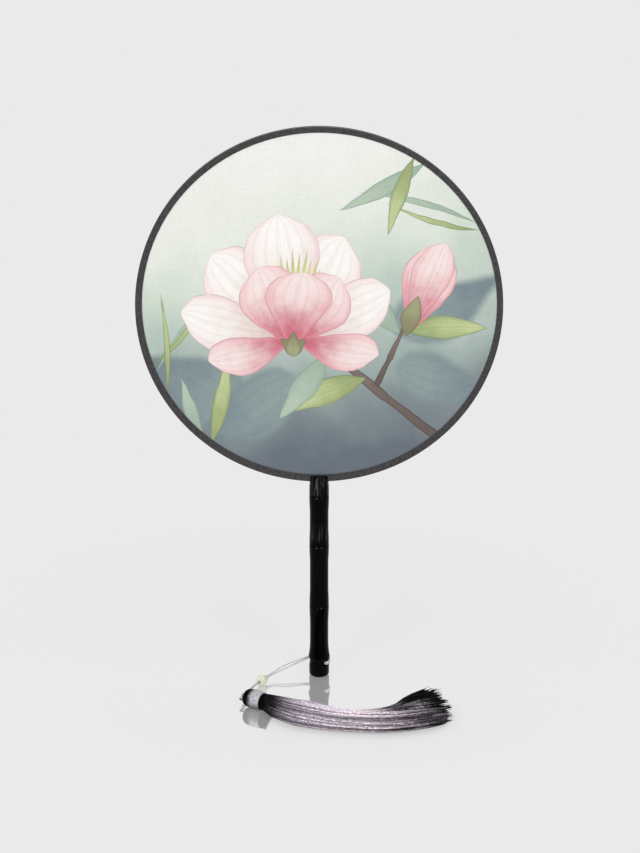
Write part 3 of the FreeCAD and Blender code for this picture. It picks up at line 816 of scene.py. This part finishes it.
# Tassel head: the threads are folded over and gathered into a dark crown, bound with a wide silver band and
# with a black neck below it. A thread eye on the crown hangs in the cord's link.
tassel_pivot = Vector(next(joint["pos_m"] for joint in frame["joints"] if joint["name"] == "tassel_swing"))
head_heading = radians(-31.9)
head_way = Vector((cos(head_heading), sin(head_heading), 0))
head_radius = 0.007
waist_radius = 0.0065
neck_radius = 0.006
crown_tip_radius = 0.0036
crown_length = 0.005
band_length = 0.008
band_lap = 0.0014
neck_length = 0.005
eye_radius = 0.0019
eye_thread_radius = 0.0004
eye_lay = 0.002
eye_reach = 0.00085
crown_gap = 0.00235
eye_middle = tassel_pivot + head_way * eye_reach
head_middle = eye_middle + head_way * (crown_gap + crown_length + band_length / 2)
head_middle.z = floor_height + head_radius
winding = 0.0005
winding_depth = 0.00013
winding_shoulder = 0.00002
thread_hollow = 0.0004
crown_edge = 0.0002
crown_groove = 0.02
crown_threads = 46
band_sides = 64


def wound(start, end, radius_at):
    # The profile of thread wound round and round, one ridge for each turn.
    turns = round((end - start) / winding)
    profile = [(start, thread_hollow)]
    for turn in range(turns):
        for share, depth in ((0, winding_depth), (0.3, winding_shoulder), (0.5, 0), (0.7, winding_shoulder)):
            height = start + (turn + share) * (end - start) / turns
            profile.append((height, radius_at((height - start) / (end - start)) - depth))
    return profile + [(end, radius_at(1) - winding_depth), (end, thread_hollow)]


def swell(share):
    return waist_radius + (head_radius - waist_radius) * min(1, 4 * min(share, 1 - share))


crown_tip = -band_length / 2 - crown_length
crown_profile = [(crown_tip, thread_hollow)]
for share in (0, 0.08, 0.2, 0.35, 0.55, 0.8, 1):
    lean = share * pi / 2
    crown_profile.append((crown_tip + crown_edge + (crown_length - crown_edge) * (1 - cos(lean)),
                          crown_tip_radius + (waist_radius - crown_tip_radius) * sin(lean)))
crown_profile.append((-band_length / 2, thread_hollow))
crown = turned("tassel_crown_threads", 4 * crown_threads, crown_profile)
for vertex in crown.data.vertices:
    around = atan2(vertex.co.y, vertex.co.x)
    groove = 1 - crown_groove * (1 - cos(crown_threads * around))
    vertex.co = (vertex.co.x * groove, vertex.co.y * groove, vertex.co.z)
band_end = band_length / 2 + band_lap
band = turned("tassel_band_thread", band_sides, wound(-band_length / 2, band_end, swell))
neck_profile = wound(band_end, band_end + neck_length, lambda share: neck_radius)
neck = turned("tassel_neck_thread", band_sides, neck_profile)
eye_line = ring_line(eye_middle, Vector((1, 0, 0)), Vector((0, 1, 0)), eye_radius)
eye = laid_cord("tassel_eye_thread", eye_line, eye_thread_radius, eye_lay, closed=True)

# The silver thread is darkened in streaks next to the crown, and painted shade darkens the side that lies
# down.
dark_streak_reach = 0.002
least_silver = 0.04
deepest_underside_shade, shade_halfway, shade_slope = 0.25, 0.75, 1.2
streak_dice = random.Random(3)
streak_ends = [streak_dice.uniform(0, dark_streak_reach) for side in range(band_sides)]
band_streaks_and_shade = []
for vertex in band.data.vertices:
    side = round(atan2(vertex.co.y, vertex.co.x) * band_sides / (2 * pi)) % band_sides
    from_crown = min(1, max(least_silver, (vertex.co.z + band_length / 2 - streak_ends[side]) / dark_streak_reach))
    # Painted shade: the lower side of the band, which lies down, is darker.
    underside_painted_shade = shade_halfway + shade_slope * vertex.co.y / head_radius
    band_streaks_and_shade.append(from_crown * min(1, max(deepest_underside_shade, underside_painted_shade)))
band.data.attributes.new("silver", "FLOAT", "POINT").data.foreach_set("value", band_streaks_and_shade)

thread_streak = 0.0009
thread_relief = 0.0001


def thread_material(name, dark, light, shine, darkening=None):
    # Silky thread: rayon with a strong soft shine and fine streaks of lighter and darker fibre. The last
    # argument names the attribute that says how much of its colour is left after dark streaks and painted
    # shade.
    material, add, shader, place = new_material(
        name, Roughness=0.38, Specular_IOR_Level=shine, Sheen_Weight=0.15 * shine, Sheen_Roughness=0.3)
    fibre = add("TexNoise", {"Vector": place, "Scale": 1 / thread_streak, "Detail": 4, "Roughness": 0.7})
    fibre = add("MapRange", fibre, 0.35, 0.65)
    colour = add("Mix", {0: fibre, 6: dark, 7: light}, **colour_mix)
    if darkening:
        left = add("Attribute", attribute_name=darkening, out="Fac")
        colour = add("VectorMath MULTIPLY", colour, left)
    relief = add("Bump", {"Height": fibre, "Strength": 0.3, "Distance": thread_relief})
    plug(shader, Base_Color=colour, Normal=relief)
    return material


black_thread = thread_material("black_rayon_thread", "#020102", "#0a080a", 0.02)
silver_thread = thread_material("silver_rayon_thread", "#8d8792", "#e2dde4", 0.5, "silver")
for piece, node, slot, material in (
    (crown, "tassel_crown", "black_thread", black_thread),
    (band, "tassel_band", "silver_thread", silver_thread),
    (neck, "neck_wrap", "black_thread", black_thread),
    (eye, "tassel_eye", "black_thread", black_thread),
):
    if piece is not eye:
        lay_along(piece, head_middle, head_way, 60)
    finish_piece(piece, material, "tassel", node)


# Tassel skirt: many fine rayon threads that leave the neck in locks, bend as they lie on the surface and fray
# at their tips. A dark bundle of the inner threads fills the middle.
skirt_gap = 0.00005
neck_end = head_middle + head_way * (band_length / 2 + neck_length + skirt_gap)
skirt_heading = radians(-38)
skirt_bend = 0.114
skirt_length = 0.136
skirt_lift = 0.0003
skirt_place_shares = (0, 0.1, 0.22, 0.45, 0.66, 0.84, 1)
skirt_near_widths = (0.0058, 0.0118, 0.0152, 0.0137, 0.0147, 0.0137, 0.0117)
skirt_far_widths = (0.0058, 0.0098, 0.0115, 0.009, 0.0132, 0.0245, 0.0272)
skirt_depths = (0.0118, 0.0132, 0.0138, 0.0118, 0.0113, 0.0108, 0.0088)
skirt_end_places = (-1, -0.4, 0.3, 1)
skirt_end_shares = (0.88, 0.955, 1, 0.98)
tuft_rise = 0.006
tuft_start = 0.6
dip_places = (-1, -0.2, 0.15, 0.5, 1)
dip_shares = (-0.06, -0.04, 0.1, 0.3, 0.5)
dip_start = 0.4
lock_count = 84
threads_in_lock = 21
stray_count = 36
tuft_stray_count = 12
thread_radius = 0.00034
thread_steps = 14
tip_taper = 0.4
tip_flick = 0.06
tip_rise = 0.4
lock_reach = (0.72, 1)
lock_fray, tuft_fray, lock_past = 0.03, 0.14, 0.02
lock_sway = 0.1
lock_spread, lock_gather = 0.2, 0.5
thread_fray = (-0.03, 0.012)
# Painted shade: the next number makes the near side of the skirt darker and the far side lighter.
near_side_painted_shade = 0.15
dip_waver, dip_of_tone = 0.1, 0.3
# Painted shade: the first number keeps the near side's threads black further from the neck; the second is
# random by tone.
near_root_painted_shade, late_tone = 0.06, 0.1
stray_from, tuft_from, stray_to = -0.9, 0.6, 0.9
stray_lifts, stray_most = (0.3, 1), 0.95
stray_drift = 0.2
least_rise, stray_rise, tuft_stray_rise = 0.05, 0.25, 0.9
stray_fray = (-0.02, 0.03)
loose_from = 0.6
dice = random.Random(5)


def between(share, places, values):
    # The value at a place, eased between the places that have one.
    share = min(places[-1], max(places[0], share))
    for index in range(len(places) - 1):
        if share <= places[index + 1]:
            part = (share - places[index]) / (places[index + 1] - places[index])
            return values[index] + (values[index + 1] - values[index]) * part * part * (3 - 2 * part)


def skirt_point(share, across, lift):
    # A place in the bundle: a share of its length, and shares of its half width and depth from its middle.
    heading = skirt_heading + share * skirt_length / skirt_bend
    left = Vector((-sin(heading), cos(heading), 0))
    start_left = Vector((-sin(skirt_heading), cos(skirt_heading), 0))
    middle = neck_end + start_left * skirt_bend - left * skirt_bend
    half_width = between(share, skirt_place_shares, skirt_far_widths if across > 0 else skirt_near_widths)
    depth = between(share, skirt_place_shares, skirt_depths)
    root = max(0, 1 - share / skirt_place_shares[1])
    tuft = max(0, across) * max(0, share - tuft_start) / (1 - tuft_start)
    height = skirt_lift + (1 + lift) * depth / 2 + tuft * tuft_rise
    height += root * (head_radius - depth / 2 - skirt_lift)
    return Vector((middle.x, middle.y, floor_height + height)) + left * across * half_width


def dye_and_sheen_at(share, dip, late=0):
    # How far along the ramp of dip dye and painted sheen a thread is. A late one leaves the black of the neck
    # further on, and past the dip's start, a deeper dip turns it black sooner.
    return share + dip * max(0, share - dip_start) / (1 - dip_start) - late * max(0, 1 - share / dip_start)


def thread_mesh(name, lines, radius, sides=3):
    # Thin tubes along many lines, in one piece. Each point keeps how far along the skirt's ramp of dip dye
    # and painted sheen it is, and each thread keeps a tone, partly its own and partly painted shade.
    vertices, faces, dye_and_sheen_values, tones = [], [], [], []
    for line, tone in lines:
        count = len(line)
        faces += tube_faces(len(vertices), count, sides)
        for index, (point, dye) in enumerate(line):
            way = (line[min(index + 1, count - 1)][0] - line[max(index - 1, 0)][0]).normalized()
            side = way.cross(Vector((0, 0, 1))).normalized()
            other = side.cross(way)
            thick = radius * (1 if index < count - 1 else tip_taper)
            for corner in range(sides):
                angle = 2 * pi * corner / sides + tone * 6
                vertices.append(point + (side * cos(angle) + other * sin(angle)) * thick)
                dye_and_sheen_values.append(dye)
                tones.append(tone)
    return mesh_piece(name, vertices, faces, dye=dye_and_sheen_values, tone=tones)


def in_bundle(across, lift, most=1):
    reach = hypot(across, lift)
    return (across * most / reach, lift * most / reach) if reach > most else (across, lift)


thread_lines = []
for lock in range(lock_count):
    around = 2 * pi * (lock + dice.random()) / lock_count
    reach = dice.uniform(*lock_reach)
    lock_across, lock_lift = reach * cos(around), reach * sin(around)
    lock_end = between(lock_across, skirt_end_places, skirt_end_shares)
    lock_end += dice.uniform(-lock_fray - tuft_fray * max(0, lock_across), lock_past)
    sway = dice.uniform(-lock_sway, lock_sway)
    lock_tone = dice.random()
    for thread in range(threads_in_lock):
        spin, part = dice.uniform(0, 2 * pi), sqrt(dice.random())
        end = lock_end + dice.uniform(*thread_fray)
        # Each thread's tone is partly random and partly painted shade, darker on the near side.
        tone = 0.5 * lock_tone + 0.5 * dice.random() + near_side_painted_shade * lock_across
        flick = dice.uniform(-tip_flick, tip_flick)
        rise = max(0, lock_across) * dice.uniform(0, tip_rise)
        dip = between(lock_across, dip_places, dip_shares) + dice.uniform(-dip_waver, dip_waver)
        dip += dip_of_tone * (0.5 - lock_tone)
        late = (near_root_painted_shade * max(0, -lock_across) + late_tone * max(0, 1 - tone)) * dice.random()
        line = []
        for step in range(thread_steps):
            share = end * step / (thread_steps - 1)
            size = lock_spread * (1 - lock_gather * share)
            across = lock_across + sway * sin(pi * share) + size * part * cos(spin + 2 * share)
            across += flick * share ** 4
            lift = lock_lift + size * part * sin(spin + 2 * share)
            across, lift = in_bundle(across, lift)
            line.append((skirt_point(share, across, lift + rise * share ** 4), dye_and_sheen_at(share, dip, late)))
        thread_lines.append((line, tone))
for stray in range(stray_count):
    on_tuft = stray < tuft_stray_count
    start_across = dice.uniform(tuft_from if on_tuft else stray_from, stray_to)
    start_across, start_lift = in_bundle(start_across, dice.uniform(*stray_lifts), stray_most)
    drift = dice.uniform(-stray_drift, stray_drift)
    rise = dice.uniform(least_rise, tuft_stray_rise if on_tuft else stray_rise)
    end = between(start_across, skirt_end_places, skirt_end_shares) + dice.uniform(*stray_fray)
    line = []
    for step in range(thread_steps):
        share = end * step / (thread_steps - 1)
        loose = (max(0, share - loose_from) / (1 - loose_from)) ** 2
        line.append((skirt_point(share, start_across + drift * loose, start_lift + rise * loose),
                     dye_and_sheen_at(share, between(start_across, dip_places, dip_shares))))
    thread_lines.append((line, dice.random()))
skirt = thread_mesh("tassel_skirt_threads", thread_lines, thread_radius)

core_sides, core_steps, core_end = 60, 13, 0.9
core_width, core_depth = 0.84, 0.8
core_vertices = []
for step in range(core_steps):
    for side in range(core_sides):
        around = 2 * pi * side / core_sides
        core_vertices.append(skirt_point(
            core_end * step / (core_steps - 1), core_width * cos(around), core_depth * sin(around)))
core = mesh_piece("tassel_skirt_core", core_vertices, tube_faces(0, core_steps, core_sides))

# Skirt thread: lilac grey twisted rayon, dip dyed so that it is black near the neck and at the tips, with
# painted sheen that lightens its middle to near white. Painted glints and shade break it into short bright
# and dark dashes along each thread, strongest where the dye is dark, and fine painted sparkle, all drawn
# larger than real ones so that they show.
twist_length = 0.0019
sparkle_size = 0.0011
dash_spread = 700
dark_dye = (0.6, 0.74)
# The black ends of this ramp are the dip dye. Its light lilac middle is painted sheen.
dye_and_sheen_tones = (
    (0.03, "#040304"), (0.055, "#4c464f"), (0.11, "#978f9b"), (0.25, "#cfc4d2"), (0.5, "#e8dbe4"),
    (0.62, "#b3a9b1"), (0.72, "#403b40"), (0.81, "#332f33"), (0.88, "#6a656a"), (0.95, "#1c181c"),
    (1, "#020202"),
)
skirt_thread, add, shader, place = new_material(
    "dip_dyed_rayon_thread_painted_sheen", Roughness=0.4, Specular_IOR_Level=0.08)
dye = add("Attribute", attribute_name="dye", out="Fac")
tone = add("Attribute", attribute_name="tone", out="Fac")
ground = add("ValToRGB", dye, stops=dye_and_sheen_tones)
# Painted glints and shade: bright and dark dashes along each thread, and fine sparkle, multiply the colour.
along = add("Math MULTIPLY", dye, skirt_length / twist_length)
beside = add("Math MULTIPLY", tone, dash_spread)
glint_dashes = add("CombineXYZ", along, beside)
glint_dashes = add("TexNoise", {"Vector": glint_dashes, "Scale": 1, "Detail": 2, "Roughness": 0.7})
dark = add("MapRange", dye, *dark_dye, 0.5, 0.05)
light = add("MapRange", dye, *dark_dye, 1.4, 3)
glint_dashes = add("MapRange", glint_dashes, 0.36, 0.64, dark, light)
tone_and_painted_glints = add("MapRange", tone, 0.15, 0.85, 0.2, 1.9)
tone_and_painted_glints = add("Math MULTIPLY", tone_and_painted_glints, glint_dashes)
sparkle = add("TexNoise", {"Vector": place, "Scale": 1 / sparkle_size, "Detail": 1})
sparkle = add("MapRange", sparkle, 0.3, 0.7, 0.65, 1.3)
tone_and_painted_glints = add("Math MULTIPLY", tone_and_painted_glints, sparkle)
colour = add("VectorMath MULTIPLY", ground, tone_and_painted_glints)
plug(shader, Base_Color=colour)
finish_piece(skirt, skirt_thread, "tassel", "tassel_skirt")
dress(core, black_thread)
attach(core, "tassel")


# Stage: a pale floor, polished close round the fan's foot and the tassel's head, that runs into a pale
# studio, with soft lamps and the camera. The polish ends along a slanting front edge, and round its middle.
scene = bpy.context.scene
scene.view_settings.view_transform = "Standard"
floor_size = 24
floor_shift = 4
studio_tone = "#eaeaea"
studio_reach, studio_share = (0.11, 0.34), 0.6
studio_light = 0.6
mirror_blur = 0.06
polish_sides, polish_fronts, polish_fade = (-0.046, -0.032), (-0.125, -0.064), (-0.006, 0.005)
polish_middle, polish_reach, polish_share = (-0.02, -0.03, floor_height), (0.075, 0.14), 0.64
low_angle = (0.44, 0.53)
floor = start_piece(
    bpy.ops.mesh.primitive_plane_add, "floor", size=floor_size, location=(0, floor_shift, floor_height))
pale_floor, add, shader, place = new_material(
    "pale_floor", Base_Color="#f3f3f3", Roughness=0.8, Specular_IOR_Level=0)
right, deep, _ = add("SeparateXYZ", place).node.outputs
edge = add("MapRange", right, *polish_sides, *polish_fronts)
behind = add("Math SUBTRACT", deep, edge)
behind = add("MapRange", behind, *polish_fade, **feathered)
away = add("VectorMath DISTANCE", place, polish_middle, out="Value")
polish = add("MapRange", away, *polish_reach, polish_share, 0, **feathered)
polish = add("Math MULTIPLY", polish, behind)
# The polish mirrors at a low angle only, as lacquered board does.
low = add("LayerWeight", {"Blend": 0.5}, out="Facing")
low = add("MapRange", low, *low_angle, **feathered)
polish = add("Math MULTIPLY", polish, low)
ray = add("LightPath").node.outputs
seen = add("Math ADD", ray["Is Camera Ray"], ray["Is Glossy Ray"])
far = add("MapRange", away, *studio_reach, studio_share, **feathered)
far = add("Math MULTIPLY", far, seen)
studio = add("Emission", {"Color": studio_tone, "Strength": 1})
mixed = add("MixShader", far, shader.outputs[0], studio)
mirror = add("BsdfGlossy", {"Color": (1, 1, 1, 1), "Roughness": mirror_blur})
mixed = add("MixShader", polish, mixed, mirror)
plug(pale_floor.node_tree.nodes["Material Output"], Surface=mixed)
dress(floor, pale_floor)

scene.world = bpy.data.worlds.new("studio")
scene.world.use_nodes = True
tree = scene.world.node_tree
add = partial(add_node, tree)
light = tree.nodes["Background"]
light.inputs["Color"].default_value = (1, 1, 1, 1)
light.inputs["Strength"].default_value = studio_light
backdrop = add("Background", {"Color": studio_tone, "Strength": 1})
ray = add("LightPath").node.outputs
seen = add("Math ADD", ray["Is Camera Ray"], ray["Is Glossy Ray"])
mixed = add("MixShader", seen, light.outputs[0], backdrop)
plug(tree.nodes["World Output"], Surface=mixed)

for name, place, aim, (width, height), power in (
    ("key", (-0.92, -1.47, 1.3), (0, 0, 0.12), (0.6, 0.14), 9.5),
    ("fill", (0.92, -1.47, 1.2), (0, 0, 0.12), (0.6, 0.14), 7),
    ("top", (0, 0.2, 2.2), (0, 0, 0), (1.6, 1.6), 7),
):
    lamp = bpy.data.objects.new(name, bpy.data.lights.new(name, "AREA"))
    lamp.data.shape = "RECTANGLE"
    lamp.data.size = width
    lamp.data.size_y = height
    lamp.data.energy = power
    lamp.location = place
    lamp.visible_glossy = name != "top"
    lamp.rotation_euler = (Vector(aim) - Vector(place)).to_track_quat("-Z", "Y").to_euler()
    scene.collection.objects.link(lamp)

camera_place = (0.0006, -1.353, floor_height + 0.667)
camera_tilt = radians(19.42)
camera = bpy.data.objects.new("camera", bpy.data.cameras.new("camera"))
camera.data.lens = 87.3
camera.data.sensor_width = 36
camera.location = camera_place
camera.rotation_euler = (pi / 2 - camera_tilt, 0, 0)
scene.collection.objects.link(camera)
scene.camera = camera
